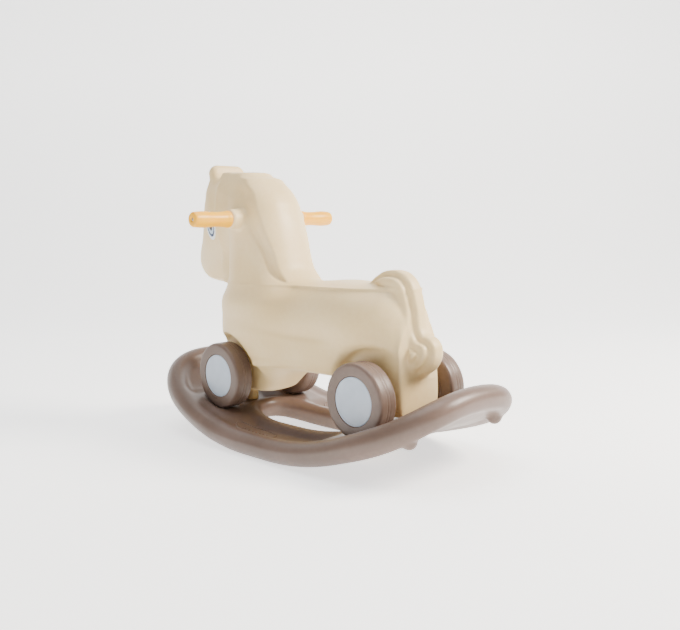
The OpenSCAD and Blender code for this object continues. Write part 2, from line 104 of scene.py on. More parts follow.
# %% Camera
def camera_at(place_mm, heading, pitch, lean, lens):
    """A camera at a place, turned to a heading from +X, pitched up or down and leaned, in degrees."""
    data = bpy.data.cameras.new("camera")
    data.lens, data.sensor_width = lens, 36
    data.clip_start, data.clip_end = 0.02, 40
    camera = bpy.data.objects.new("camera", data)
    bpy.context.scene.collection.objects.link(camera)
    h, p, a = (math.radians(v) for v in (heading, pitch, lean))
    ahead = Vector((math.cos(p) * math.cos(h), math.cos(p) * math.sin(h), math.sin(p)))
    right = ahead.cross(Vector((0, 0, 1))).normalized()
    up = right.cross(ahead)
    right, up = math.cos(a) * right + math.sin(a) * up, math.cos(a) * up - math.sin(a) * right
    turn = Matrix((right, up, -ahead)).transposed().to_4x4()
    camera.matrix_world = Matrix.Translation(Vector(place_mm) * MM) @ turn
    return camera


camera_heading = -44.1
camera = camera_at((-1080.5, 990.3, 386.9), camera_heading, pitch=-6.04, lean=-1.15, lens=42.97)
bpy.context.scene.camera = camera
print("camera looks along", [round(v, 2) for v in (camera.matrix_world.to_3x3() @ Vector((0, 0, -1)))])


# %% [markdown]
# ## Materials
#
# A blow-moulded toy is high-density polyethylene: waxy, satin, a little soft to light at thin
# edges, and covered with the fine grain of the sand-blasted mould. The discs and grips are
# injection-moulded, so they are smoother and glossier. Steel shows only in the screws and axles.
# One function adds a node with its settings and links, and every material is built with it.

# %% Helpers for colours and nodes
def colour(hex_code):
    """An sRGB hex colour as the linear colour that Blender's sockets take."""
    parts = [int(hex_code[i:i + 2], 16) / 255 for i in (1, 3, 5)]
    return (*(c / 12.92 if c <= 0.04045 else ((c + 0.055) / 1.055) ** 2.4 for c in parts), 1)


def add(tree, kind, settings=None, links=None):
    """One node: its attributes or input values come from settings, its inputs are fed by links."""
    node = tree.nodes.new(kind)
    for key, value in (settings or {}).items():
        if isinstance(key, str) and hasattr(node, key):
            setattr(node, key, value)
        else:
            node.inputs[key].default_value = value
    for key, source in (links or {}).items():
        tree.links.new(source, node.inputs[key])
    return node


def ramp(tree, factor, stops):
    """A colour ramp fed by factor, with stops as pairs of place and hex colour."""
    node = add(tree, "ShaderNodeValToRGB", links={"Fac": factor})
    elements = node.color_ramp.elements
    while len(elements) < len(stops):
        elements.new(0.5)
    for element, (place, code) in zip(elements, stops):
        element.position, element.color = place, colour(code)
    return node.outputs["Color"]


def surface(name, shader):
    """A new material with a principled shader set by a dictionary. Returns material, tree, shader."""
    material = bpy.data.materials.new(name)
    material.use_nodes = True
    tree = material.node_tree
    bsdf = tree.nodes["Principled BSDF"]
    for key, value in shader.items():
        bsdf.inputs[key].default_value = value
    return material, tree, bsdf


def noise(tree, spot, size_mm, detail=2, roughness=0.5):
    """Noise whose features are about size_mm wide, read at the object's own coordinates."""
    return add(tree, "ShaderNodeTexNoise",
               {"Scale": 1 / (size_mm * MM), "Detail": detail, "Roughness": roughness}, {"Vector": spot})


# %% Moulded polyethylene: horse, base, wheels and pegs
def moulded_plastic(name, low, mid, high, rough, grain_mm=0.9, grain_height_mm=0.035, sheen=0.0):
    """Satin blow-moulded polyethylene: a waxy body, fine mould grain and slow patches of gloss."""
    material, tree, bsdf = surface(name, {
        "IOR": 1.53, "Specular IOR Level": 0.42, "Subsurface Weight": 0.06,
        "Subsurface Scale": 0.004, "Subsurface Radius": (1.0, 0.7, 0.5), "Sheen Weight": sheen})
    spot = add(tree, "ShaderNodeTexCoord").outputs["Object"]
    slow = noise(tree, spot, 140, detail=1)
    fine = noise(tree, spot, 9, detail=3)
    blend = add(tree, "ShaderNodeMath", {"operation": "MULTIPLY_ADD", 1: 0.25},
                {0: fine.outputs["Fac"], 2: slow.outputs["Fac"]})
    body = ramp(tree, blend.outputs[0], [(0.45, low), (0.62, mid), (0.8, high)])
    tree.links.new(body, bsdf.inputs["Base Color"])
    gloss = add(tree, "ShaderNodeMapRange",
                {"From Min": 0.3, "From Max": 0.7, "To Min": rough - 0.04, "To Max": rough + 0.05},
                {"Value": noise(tree, spot, 30).outputs["Fac"]})
    tree.links.new(gloss.outputs["Result"], bsdf.inputs["Roughness"])
    grain = noise(tree, spot, grain_mm, detail=2, roughness=0.6)
    wave = noise(tree, spot, 45, detail=0)
    bump = add(tree, "ShaderNodeBump", {"Strength": 0.35, "Distance": grain_height_mm * MM},
               {"Height": grain.outputs["Fac"]})
    swell = add(tree, "ShaderNodeBump", {"Strength": 0.5, "Distance": 0.25 * MM},
                {"Height": wave.outputs["Fac"], "Normal": bump.outputs["Normal"]})
    tree.links.new(swell.outputs["Normal"], bsdf.inputs["Normal"])
    return material


cream_plastic = moulded_plastic("cream_blow_moulded_polyethylene", "#E7CA92", "#ECD19C", "#F0D8A9",
                                rough=0.42)
taupe_plastic = moulded_plastic("taupe_blow_moulded_polyethylene", "#645247", "#6A574C", "#725E54",
                                rough=0.36)
wheel_plastic = moulded_plastic("taupe_moulded_wheel_plastic", "#665449", "#6D5A4F", "#76635A", rough=0.38)
peg_plastic = moulded_plastic("cream_injection_moulded_nylon", "#E4C48A", "#E9CD96", "#EED6A4", rough=0.4)
print("moulded plastics:", [m.name for m in bpy.data.materials if "mould" in m.name])


# %% Smooth plastics, steel and printed vinyl
def smooth_plastic(name, low, high, rough, coat=0.0):
    """Injection-moulded plastic: even colour with faint flow marks, and a smooth, glossier skin."""
    material, tree, bsdf = surface(name, {
        "IOR": 1.5, "Coat Weight": coat, "Coat Roughness": 0.12, "Subsurface Weight": 0.04,
        "Subsurface Scale": 0.002})
    spot = add(tree, "ShaderNodeTexCoord").outputs["Object"]
    tone = ramp(tree, noise(tree, spot, 22).outputs["Fac"], [(0.3, low), (0.7, high)])
    tree.links.new(tone, bsdf.inputs["Base Color"])
    gloss = add(tree, "ShaderNodeMapRange", {"To Min": rough - 0.03, "To Max": rough + 0.04},
                {"Value": noise(tree, spot, 12).outputs["Fac"]})
    tree.links.new(gloss.outputs["Result"], bsdf.inputs["Roughness"])
    bump = add(tree, "ShaderNodeBump", {"Strength": 0.2, "Distance": 0.02 * MM},
               {"Height": noise(tree, spot, 1.2, detail=2).outputs["Fac"]})
    tree.links.new(bump.outputs["Normal"], bsdf.inputs["Normal"])
    return material


def plated_steel(name, tone_low, tone_high, rough, lay_mm=0.8):
    """Zinc-plated steel: turned round the Y axis, so its fine marks run round the bar."""
    material, tree, bsdf = surface(name, {"Metallic": 1.0})
    spot = add(tree, "ShaderNodeTexCoord").outputs["Object"]
    stretched = add(tree, "ShaderNodeMapping", {"Scale": (0.05, 1, 0.05)}, {"Vector": spot})
    lines = noise(tree, stretched.outputs["Vector"], lay_mm, detail=2)
    tone = ramp(tree, lines.outputs["Fac"], [(0.3, tone_low), (0.7, tone_high)])
    tree.links.new(tone, bsdf.inputs["Base Color"])
    gloss = add(tree, "ShaderNodeMapRange", {"To Min": rough - 0.06, "To Max": rough + 0.08},
                {"Value": lines.outputs["Fac"]})
    tree.links.new(gloss.outputs["Result"], bsdf.inputs["Roughness"])
    bump = add(tree, "ShaderNodeBump", {"Strength": 0.25, "Distance": 0.02 * MM},
               {"Height": lines.outputs["Fac"]})
    tree.links.new(bump.outputs["Normal"], bsdf.inputs["Normal"])
    return material


disc_plastic = smooth_plastic("pale_blue_grey_moulded_styrene", "#B0BCCA", "#B9C4D1", 0.34)
grip_plastic = smooth_plastic("yellow_moulded_polypropylene", "#FFB200", "#FFBC00", 0.36)
bush_nylon = smooth_plastic("dark_moulded_nylon", "#34302D", "#3E3A36", 0.45)
vinyl_white = smooth_plastic("printed_vinyl_white", "#E8ECF2", "#EEF1F6", 0.28, coat=0.3)
vinyl_navy = smooth_plastic("printed_vinyl_navy", "#1C3357", "#223B63", 0.28, coat=0.3)
vinyl_iris = smooth_plastic("printed_vinyl_pale_blue", "#B9CBDD", "#C4D4E4", 0.28, coat=0.3)
vinyl_black = smooth_plastic("printed_vinyl_black", "#141519", "#1A1B20", 0.28, coat=0.3)
zinc_steel = plated_steel("zinc_plated_steel", "#A9ADB2", "#BCC0C4", 0.32)
cap_steel = plated_steel("pressed_spring_steel", "#8F9398", "#A4A8AD", 0.4)
print("smooth finishes:", len(bpy.data.materials))


# %% [markdown]
# ## From a field to a skin
#
# A blow-moulding has no flat faces to extrude. It is easier to say, for every point of space,
# how far that point lies outside the plastic, and then to find where that number is zero. The
# number is called a field. Two shapes melt into each other with a soft minimum of their fields,
# a wheel arch is cut with a soft maximum, and a raised mane is the same field, moved outwards.
#
# The skin is found with a surface net: one vertex in every grid cell that the surface crosses,
# one quad across every grid edge that it crosses. Two short steps along the field's slope then
# pull each vertex exactly onto the surface, which gives smooth, even quads.

# %% Field helpers
def soft_min(a, b, reach):
    """The lower of two fields, melted together where they are within reach of each other."""
    h = np.clip(reach - np.abs(a - b), 0, None) / reach
    return np.minimum(a, b) - h * h * reach / 4


def soft_max(a, b, reach):
    """The higher of two fields, with a round edge where they meet."""
    return -soft_min(-a, -b, reach)


def levelled(field, step):
    """A rough field scaled so that it grows by about one millimetre per millimetre."""
    slopes = np.gradient(field, step)
    steepness = np.sqrt(sum(s * s for s in slopes))
    return field / np.maximum(steepness, 0.2 * np.median(steepness))


def curve_through(places, values, at):
    """A smooth curve through the values at places, read at other places."""
    places, values = np.asarray(places, float), np.asarray(values, float)
    slope = np.gradient(values, places)
    k = np.clip(np.searchsorted(places, at) - 1, 0, len(places) - 2)
    gap = places[k + 1] - places[k]
    t = np.clip((at - places[k]) / gap, 0, 1)
    return ((2 * t ** 3 - 3 * t ** 2 + 1) * values[k] + (t ** 3 - 2 * t ** 2 + t) * gap * slope[k]
            + (3 * t ** 2 - 2 * t ** 3) * values[k + 1] + (t ** 3 - t ** 2) * gap * slope[k + 1])


def sample(grid, points, low, step):
    """The grid's value at free points, blended from the eight grid points round each."""
    spot = np.clip((points - low) / step, 0, np.array(grid.shape) - 1.001)
    cell = spot.astype(int)
    part = spot - cell
    total = np.zeros(len(points))
    for corner in np.ndindex(2, 2, 2):
        weight = np.prod(np.where(corner, part, 1 - part), axis=1)
        total += weight * grid[tuple((cell + corner).T)]
    return total


def surface_net(field, low, step):
    """Vertices and quads of the surface where the field is zero. The field is positive outside."""
    inside = field < 0
    shape = np.array(field.shape)
    cells = shape - 1
    filled = sum(inside[tuple(slice(c, c + n) for c, n in zip(corner, cells))].astype(np.int8)
                 for corner in np.ndindex(2, 2, 2))
    crossed = np.argwhere((filled > 0) & (filled < 8))
    number = -np.ones(cells, int)
    number[tuple(crossed.T)] = np.arange(len(crossed))
    total, hits = np.zeros((len(crossed), 3)), np.zeros(len(crossed))
    for axis in range(3):
        for corner in np.ndindex(2, 2, 2):
            if corner[axis]:
                continue
            start = crossed + corner
            end = start + np.eye(3, dtype=int)[axis]
            a, b = field[tuple(start.T)], field[tuple(end.T)]
            hit = (a < 0) != (b < 0)
            share = np.where(hit, a / np.where(hit, a - b, 1), 0)
            total += np.where(hit[:, None], start + share[:, None] * np.eye(3)[axis], 0)
            hits += hit
    points = low + step * total / hits[:, None]
    quads = []
    for axis in range(3):
        u, v = np.eye(3, dtype=int)[(axis + 1) % 3], np.eye(3, dtype=int)[(axis + 2) % 3]
        first = inside[tuple(slice(0, n - (k == axis)) for k, n in enumerate(shape))]
        second = inside[tuple(slice(1 if k == axis else 0, n) for k, n in enumerate(shape))]
        for here, flip in ((first & ~second, False), (~first & second, True)):
            edge = np.argwhere(here)
            edge = edge[np.all(edge - u - v >= 0, axis=1) & np.all(edge < cells, axis=1)]
            ring = [number[tuple((edge - offset).T)] for offset in (0 * u, u, u + v, v)]
            quads.append(np.stack(ring[::-1] if flip else ring, axis=1))
    return points, np.concatenate(quads)


def skin_of(field, low, step, pulls=3):
    """A surface net of the field with each vertex pulled onto the surface."""
    points, quads = surface_net(field, low, step)
    slopes = np.gradient(field, step)
    for _ in range(pulls):
        value = sample(field, points, low, step)
        slope = np.stack([sample(s, points, low, step) for s in slopes], axis=1)
        move = slope * (value / np.maximum((slope ** 2).sum(1), 0.05))[:, None]
        points = points - np.clip(move, -step, step)
    return points, quads


def as_mesh(name, points, faces, material, smooth=True):
    """A Blender object from points in millimetres and faces, at the origin, with one material."""
    mesh = bpy.data.meshes.new(name)
    mesh.from_pydata((np.asarray(points) * MM).tolist(), [], np.asarray(faces).tolist()
                     if isinstance(faces, np.ndarray) else faces)
    mesh.materials.append(material)
    mesh.polygons.foreach_set("use_smooth", [smooth] * len(mesh.polygons))
    mesh.update()
    thing = bpy.data.objects.new(name, mesh)
    bpy.context.scene.collection.objects.link(thing)
    return thing


def grid_over(low, high, step):
    """Grid lines along X, Y and Z that cover a box, and the box's lowest corner."""
    lines = [low[k] + step * np.arange(int(math.ceil((high[k] - low[k]) / step)) + 1) for k in range(3)]
    return np.meshgrid(*lines, indexing="ij", sparse=True), np.array([line[0] for line in lines])


# %% [markdown]
# ## The horse
#
# The real horse is one hollow blow-moulding. Its field is put together the way a sculptor
# blocks out clay: a trunk, two blocks that hold the axles, a wide front leg, a neck and a head,
# all melted together. Each block is a loft: a row of rounded rectangles whose sizes follow a
# smooth curve. Then the wheel arches are scooped out, and the ears, mane, tail and handlebar
# rings are added as relief.

# %% Lofted blocks
seat = bar_z - 117
half_gap = 50
grip_gap = 10


def rounded_section(along_a, mid_a, half_a, b, half_b, squareness):
    """Below zero inside a rounded rectangle with half sizes half_a and half_b."""
    ratio = (np.abs(along_a - mid_a) / half_a) ** squareness + (np.abs(b) / half_b) ** squareness
    return ratio ** (1 / squareness) - 1


def loft(space, stations, upright, step, cap=6):
    """A field through stations [place, low, high, half width, squareness].

    Upright stations follow one another along X, level ones along Z."""
    x, y, z = space
    run, across = (x, z) if upright else (z, x)
    place, low, high, half, squareness = np.array(stations, float).T
    low, high, half, squareness = (curve_through(place, v, run) for v in (low, high, half, squareness))
    rough = rounded_section(across, (low + high) / 2, (high - low) / 2, y, half, squareness)
    field = levelled(rough, step)
    return soft_max(field, np.maximum(place[0] - run, run - place[-1]) + 0 * field, cap)


TRUNK = [
    (rear_x - 50, seat - 136, seat - 70, 22, 2.3), (rear_x - 46, seat - 142, seat - 48, 32, 2.3),
    (rear_x - 36, seat - 146, seat - 26, 44, 2.3), (rear_x - 18, seat - 148, seat - 8, 60, 2.3),
    (rear_x + 8, seat - 147, seat + 0, 75, 2.2), (rear_x + 40, seat - 140, seat + 4, 85, 2.1),
    (rear_x + 100, seat - 130, seat + 8, 88, 2.0), (rear_x + 155, seat - 130, seat + 5, 88, 2.0),
    (rear_x + 210, seat - 132, seat + 2, 88, 2.0), (rear_x + 260, seat - 136, seat + 3, 87, 2.1),
    (rear_x + 320, seat - 140, seat + 5, 80, 2.3), (rear_x + 365, seat - 140, seat + 0, 69, 2.3),
    (rear_x + 398, seat - 134, seat - 18, 49, 2.3), (rear_x + 414, seat - 112, seat - 46, 28, 2.3)]
REAR_BLOCK = [
    (axle_z - 35, rear_x - 44, rear_x + 46, half_gap - 5, 7),
    (axle_z - 20, rear_x - 49, rear_x + 51, half_gap, 8),
    (axle_z + 40, rear_x - 50, rear_x + 60, half_gap, 7),
    (seat - 104, rear_x - 46, rear_x + 60, half_gap - 3, 5),
    (seat - 60, rear_x - 32, rear_x + 60, half_gap - 14, 3)]
FRONT_LEG = [
    (axle_z - 37, front_x - 62, front_x + 42, half_gap - 12, 2.6),
    (axle_z - 31, front_x - 72, front_x + 46, half_gap - 4, 2.8),
    (axle_z - 20, front_x - 85, front_x + 48, half_gap + 1, 2.8),
    (axle_z - 8, front_x - 97, front_x + 49, half_gap + 8, 2.7),
    (axle_z + 4, front_x - 112, front_x + 50, half_gap + 15, 2.6),
    (axle_z + 18, front_x - 134, front_x + 50, half_gap + 22, 2.5),
    (axle_z + 34, front_x - 160, front_x + 50, half_gap + 28, 2.5),
    (seat - 78, front_x - 175, front_x + 50, half_gap + 32, 2.4),
    (seat - 40, front_x - 180, front_x + 46, half_gap + 30, 2.4)]
BELLY = [
    (seat - 154, rear_x + 62, rear_x + 214, 58, 5), (seat - 147, rear_x + 50, rear_x + 240, 73, 5),
    (seat - 134, rear_x + 42, rear_x + 266, 81, 5), (seat - 114, rear_x + 36, rear_x + 296, 84, 5),
    (seat - 90, rear_x + 34, rear_x + 326, 85, 5)]
NECK = [
    (seat - 40, bar_x - 140, bar_x + 70, 79, 2.5), (seat - 4, bar_x - 112, bar_x + 69, 76, 2.4),
    (seat + 20, bar_x - 92, bar_x + 68, 73, 2.3), (seat + 44, bar_x - 83, bar_x + 68, 70, 2.3),
    (seat + 80, bar_x - 73, bar_x + 72, 67, 2.3), (seat + 122, bar_x - 60, bar_x + 92, 65, 2.3),
    (seat + 144, bar_x - 52, bar_x + 101, 62, 2.3), (seat + 162, bar_x - 39, bar_x + 108, 58, 2.3),
    (seat + 182, bar_x - 15, bar_x + 112, 50, 2.3), (seat + 197, bar_x + 6, bar_x + 110, 40, 2.3)]
HEAD = [
    (seat - 6, bar_x + 88, bar_x + 146, 20, 2.6), (seat + 0, bar_x + 68, bar_x + 162, 29, 2.6),
    (seat + 8, bar_x + 54, bar_x + 177, 34, 2.6), (seat + 18, bar_x + 44, bar_x + 186, 38, 2.6),
    (seat + 32, bar_x + 34, bar_x + 191, 42, 2.6), (seat + 50, bar_x + 28, bar_x + 187, 46, 2.6),
    (seat + 82, bar_x + 20, bar_x + 166, 54, 2.7), (seat + 113, bar_x + 18, bar_x + 154, 59, 2.7),
    (seat + 129, bar_x + 20, bar_x + 150, 60, 2.7), (seat + 156, bar_x + 26, bar_x + 146, 57, 2.7),
    (seat + 182, bar_x + 42, bar_x + 140, 49, 2.6), (seat + 196, bar_x + 64, bar_x + 128, 34, 2.5)]


# %% Relief: arches, ears, mane, tail and handlebar rings
def wheel_arch(space, x_axle, radius):
    """The room over a wheel outside the body: a round tunnel with a soft inner edge."""
    x, y, z = space
    return soft_max(np.hypot(x - x_axle, z - axle_z) - radius, half_gap - np.abs(y), 12)


def ear_block(space):
    """Both ears in one upright block that leans forward, with round shoulders."""
    x, y, z = space
    lean = math.radians(13)
    height, half_w, half_t, shoulder, edge = 60, 40, 12, 17, 6
    dx, dz = x - (bar_x + 115), z - (ears_top - height / 2)
    thick = dx * math.cos(lean) - dz * math.sin(lean)
    tall = dx * math.sin(lean) + dz * math.cos(lean)
    corner_y = np.abs(y) - (half_w - shoulder)
    corner_z = np.abs(tall) - (height / 2 - shoulder)
    face = (np.hypot(np.maximum(corner_y, 0), np.maximum(corner_z, 0))
            + np.minimum(np.maximum(corner_y, corner_z), 0) - shoulder)
    return soft_max(face, np.abs(thick) - half_t, edge * 2)


def mane_half(z):
    """Half the mane's width at a height."""
    above_seat = [-10, 8, 53, 88, 122, 144, 162, 184, 208]
    return curve_through([seat + rise for rise in above_seat], [42, 44, 46, 52, 54, 54, 50, 48, 36], z)


def mane_groove(space, body):
    """A shallow valley pressed into the neck along the foot of the mane."""
    x, y, z = space
    across = (np.abs(y) - mane_half(z) - 3) / 5
    behind = np.clip((bar_x + 70 - x) / 30, 0, 1) * np.clip((z - seat + 5) / 25, 0, 1)
    return body + 3.5 * np.exp(-across ** 2) * behind


def mane_band(space, neck_and_head):
    """The mane: the neck's own surface moved outwards, kept to a band down its back."""
    x, y, z = space
    height = 9
    band = soft_max(neck_and_head - height, np.abs(y) - mane_half(z), 3)
    return soft_max(band, x - (bar_x + 88), 8)


def outline_field(a, b, points, smooth=6):
    """Signed distance in a plane to a closed outline drawn smoothly through a few points."""
    points = np.array(points, float)
    count = len(points)
    loop = []
    for k in range(count):
        p0, p1, p2, p3 = (points[(k + j - 1) % count] for j in range(4))
        for t in np.arange(smooth) / smooth:
            loop.append(0.5 * (2 * p1 + (p2 - p0) * t + (2 * p0 - 5 * p1 + 4 * p2 - p3) * t ** 2
                               + (3 * p1 - p0 - 3 * p2 + p3) * t ** 3))
    loop = np.array(loop)
    nearest = np.full(np.broadcast(a, b).shape, 1e9)
    inside = np.zeros(nearest.shape, bool)
    for p, q in zip(loop, np.roll(loop, -1, axis=0)):
        e = q - p
        t = np.clip(((a - p[0]) * e[0] + (b - p[1]) * e[1]) / (e @ e), 0, 1)
        nearest = np.minimum(nearest, (a - p[0] - t * e[0]) ** 2 + (b - p[1] - t * e[1]) ** 2)
        crosses = (p[1] > b) != (q[1] > b)
        reach = p[0] + (b - p[1]) * e[0] / (e[1] if e[1] else 1)
        inside ^= crosses & (a < reach)
    return np.where(inside, -1, 1) * np.sqrt(nearest)


# The tail's side view: over the rump, down, and out into a curl. The last points lie in the body.
TAIL = [(rear_x + 46, seat + 2), (rear_x + 24, seat + 22), (rear_x + 0, seat + 27), (rear_x - 24, seat + 23),
        (rear_x - 41, seat + 9), (rear_x - 50, seat - 12), (rear_x - 56, seat - 38), (rear_x - 59, seat - 62),
        (rear_x - 66, seat - 75), (rear_x - 80, seat - 80), (rear_x - 90, seat - 94),
        (rear_x - 89, seat - 113), (rear_x - 76, seat - 132), (rear_x - 50, seat - 145),
        (rear_x - 34, seat - 138), (rear_x - 28, seat - 70), (rear_x - 8, seat - 20)]


def tail_relief(space):
    """The tail: the same side view in three layers, each wider and lower than the one above."""
    x, y, z = space
    side = outline_field(x[:, 0, :], z[:, 0, :] + 0 * x[:, 0, :], TAIL)[:, None, :]
    layers = [(0, 13), (11, 25), (24, 36)]
    field = None
    for drop, half in layers:
        layer = soft_max(side + drop, np.abs(y) - half, 7)
        field = layer if field is None else soft_min(field, layer, 2)
    return field


def bar_ring(space):
    """A low round boss on each side of the head, where the handlebar comes out."""
    x, y, z = space
    radius, edge = 18.5, 7
    return soft_max(np.hypot(x - bar_x, z - bar_z) - radius, np.abs(y) - grip_in - grip_gap, edge)


# %% Put the horse together
def horse_field(space, step):
    """The whole horse as one field, in millimetres, positive outside."""
    trunk = loft(space, TRUNK, True, step)
    trunk = soft_min(trunk, loft(space, BELLY, False, step, 8), 10)
    body = soft_min(trunk, loft(space, REAR_BLOCK, False, step, 24), 30)
    body = soft_min(body, loft(space, FRONT_LEG, False, step, 14), 36)
    upper = soft_min(loft(space, NECK, False, step, 18), loft(space, HEAD, False, step, 10), 14)
    body = soft_min(body, upper, 30)
    for x_axle, radius in ((rear_x, 80), (front_x, 75)):
        body = soft_max(body, -wheel_arch(space, x_axle, radius), 12)
    body = mane_groove(space, body)
    body = soft_min(body, mane_band(space, upper), 1.5)
    body = soft_min(body, tail_relief(space), 5)
    body = soft_min(body, ear_block(space), 14)
    return soft_min(body, bar_ring(space), 6)


horse_step = 2.6
space, horse_low = grid_over((rear_x - 112, -99, axle_z - 45), (bar_x + 214, 99, ears_top + 12), horse_step)
horse_grid = horse_field(space, horse_step)
points, quads = skin_of(horse_grid, horse_low, horse_step)
horse_skin = as_mesh("horse_skin", points, quads, cream_plastic)
print("horse skin:", len(points), "vertices,", 2 * len(quads), "triangles")


# %% [markdown]
# ## The rocker base
#
# The base is a second hollow moulding: a fat tube round the edge, a deck with seats for the
# wheels, and a round ridge about the middle opening. It is easiest to design flat and then bend.
# Each grid point is first unrolled: its distance along the rocking curve and its height above
# it are worked out, and the flat design is read there. So the tube stays round all the way up.

# %% Unrolled coordinates
ROCKER_R = 550
half_rest = 30
rim_r = 20
deck_h = 27
under_h = 6
ridge_h = 42
ridge_r = 15
opening_x, opening_half_l, opening_half_w = -15, 163, 56


def unrolled(x, z):
    """Distance along the rocking curve from the middle, signed, and height above the curve."""
    past = np.maximum(np.abs(x) - half_rest, 0)
    turn = np.arctan2(past, ROCKER_R - z)
    along = np.sign(x) * (np.minimum(np.abs(x), half_rest) + (ROCKER_R - rim_r) * turn)
    return along, ROCKER_R - np.hypot(past, ROCKER_R - z)


def rounded_loop(a, b, half_a, half_b, squareness):
    """About the distance outside a rounded rectangle drawn in a plane."""
    ratio = (np.abs(a / half_a) ** squareness + np.abs(b / half_b) ** squareness) ** (1 / squareness)
    steep = np.hypot(np.abs(a / half_a) ** (squareness - 1) / half_a,
                     np.abs(b / half_b) ** (squareness - 1) / half_b)
    steep = steep * np.maximum(ratio, 0.05) ** (1 - squareness)
    return (ratio - 1) / np.maximum(steep, 1e-4)


def step_up(t):
    """A soft step from 0 to 1 as t goes from 0 to 1."""
    t = np.clip(t, 0, 1)
    return t * t * (3 - 2 * t)


def wheel_seat(space, x_axle):
    """The hollow that one pair of wheels sinks into: the wheel with a little room round it."""
    x, y, z = space
    room, side, edge = 0.8, 3.5, 10
    middle_y = (wheel_in + wheel_out) / 2
    return soft_max(np.hypot(x - x_axle, z - axle_z) - wheel_r - room,
                    np.abs(np.abs(y) - middle_y) - (wheel_out - wheel_in) / 2 - side, edge)


def cradle_rise(space):
    """How much the deck rises round the wheels, fading out along and across the base."""
    x, y, z = space
    rise, reach_x, reach_y = 12, 52, 38
    middle_y = (wheel_in + wheel_out) / 2
    across = step_up(1.7 - np.abs(np.abs(y) - middle_y) / reach_y)
    along = [step_up(1.9 - np.abs(x - x_axle) / reach_x) for x_axle in (front_x, rear_x)]
    return rise * np.maximum(*along) * across


def stop_nub(space):
    """The two round nubs under the rear end that stop the base from tipping over backwards."""
    x, y, z = space
    nub_x, nub_y, nub_bottom, nub_r, height = -310, 107, 61, 12.5, 25
    low = nub_bottom + nub_r
    down = np.minimum(np.maximum(z, low), low + height)
    return np.sqrt((x - nub_x) ** 2 + (np.abs(y) - nub_y) ** 2 + (z - down) ** 2) - nub_r


def base_field(space):
    """The rocker base as one field, in millimetres, positive outside."""
    x, y, z = space
    corner_droop, droop_from, inner_lip = 7, 190, 8
    droop = corner_droop * step_up((np.abs(x) - droop_from) / 130) * step_up(np.abs(y) / 120)
    along, height = unrolled(x, z + droop)
    end_turn = math.asin((base_half_l - rim_r - half_rest) / (ROCKER_R - rim_r))
    half_l = half_rest + (ROCKER_R - rim_r) * end_turn + rim_r
    squareness = np.where(along > 0, 3.1, 3.5)
    edge_in = -rounded_loop(along, y, half_l, base_half_w, squareness)
    hole_out = rounded_loop(along - opening_x, y, opening_half_l, opening_half_w, 2.6)
    tube = np.hypot(edge_in - rim_r, height - rim_r) - rim_r
    deck = soft_max(height - deck_h - cradle_rise(space), under_h - height, 6)
    deck = soft_max(soft_max(deck, rim_r - edge_in, 6), inner_lip - hole_out, 6)
    ridge_c = ridge_h - ridge_r
    ridge = np.hypot(hole_out - ridge_r, np.maximum(height - ridge_c, 0)) - ridge_r
    ridge = soft_max(ridge, under_h - height, 6)
    body = soft_min(soft_min(tube, deck, 14), ridge, 8)
    body = soft_min(body, stop_nub(space), 5)
    for x_axle in (front_x, rear_x):
        body = soft_max(body, -wheel_seat(space, x_axle), 4)
    for peg in ("front_peg", "rear_peg"):
        peg_x, peg_r, room = middle(peg, 0), span(peg, 1)[1], 0.8
        hole = soft_max(np.hypot(x - peg_x, y) - peg_r - room, peg_floor(peg) - z, 3)
        body = soft_max(body, -hole, 3)
    return body


def peg_floor(peg):
    """Height of the seat that a peg's shank stands on: a little above the peg's lowest point."""
    spigot = 6
    return span(peg, 2)[0] + spigot


base_step = 3.0
space, base_low = grid_over((-base_half_l - 8, -base_half_w - 6, -6),
                            (base_half_l + 8, base_half_w + 6, 160), base_step)
base_grid = base_field(space) + np.zeros([len(line.ravel()) for line in space])
points, quads = skin_of(base_grid, base_low, base_step)
base_skin = as_mesh("rocker_base_skin", points, quads, taupe_plastic)
print("base skin:", len(points), "vertices,", 2 * len(quads), "triangles")


# %% [markdown]
# ## Wheels, discs and grips
#
# These are turned shapes: one profile swept round an axle. A maker would draw the profile once,
# so we do too: as a short list of corners, each with its own rounding. A point of the profile is
# a radius and a distance outwards along the axle.

# %% Turned pieces
def rounded_profile(corners, arc_steps=6):
    """A profile through corners [radius, along, rounding], with an arc in place of each corner."""
    points = []
    for k, (r, t, rounding) in enumerate(corners):
        here = np.array((r, t), float)
        if rounding == 0 or k in (0, len(corners) - 1):
            points.append(here)
            continue
        before = np.array(corners[k - 1][:2], float) - here
        after = np.array(corners[k + 1][:2], float) - here
        reach = min(rounding, 0.48 * np.linalg.norm(before), 0.48 * np.linalg.norm(after))
        a, c = before / np.linalg.norm(before) * reach, after / np.linalg.norm(after) * reach
        for s in np.linspace(0, 1, arc_steps + 1):
            points.append(here + a * (1 - s) ** 2 + c * s ** 2)
    return points


def turned(name, profile, side, centre, material, turns=96):
    """A profile turned about a line along Y. side is 1 for the rider's left, -1 for the right."""
    points, faces = [], []
    for r, t in profile:
        for k in range(turns):
            a = 2 * math.pi * k / turns
            points.append((centre[0] + r * math.sin(a), side * (centre[1] + t), centre[2] + r * math.cos(a)))
    for j in range(len(profile) - 1):
        for k in range(turns):
            n = (k + 1) % turns
            faces.append((j * turns + k, j * turns + n, (j + 1) * turns + n, (j + 1) * turns + k))
    piece = as_mesh(name, points, faces, material)
    shape = bmesh.new()
    shape.from_mesh(piece.data)
    bmesh.ops.remove_doubles(shape, verts=shape.verts, dist=1e-6)
    bmesh.ops.recalc_face_normals(shape, faces=shape.faces)
    shape.to_mesh(piece.data)
    shape.free()
    return piece


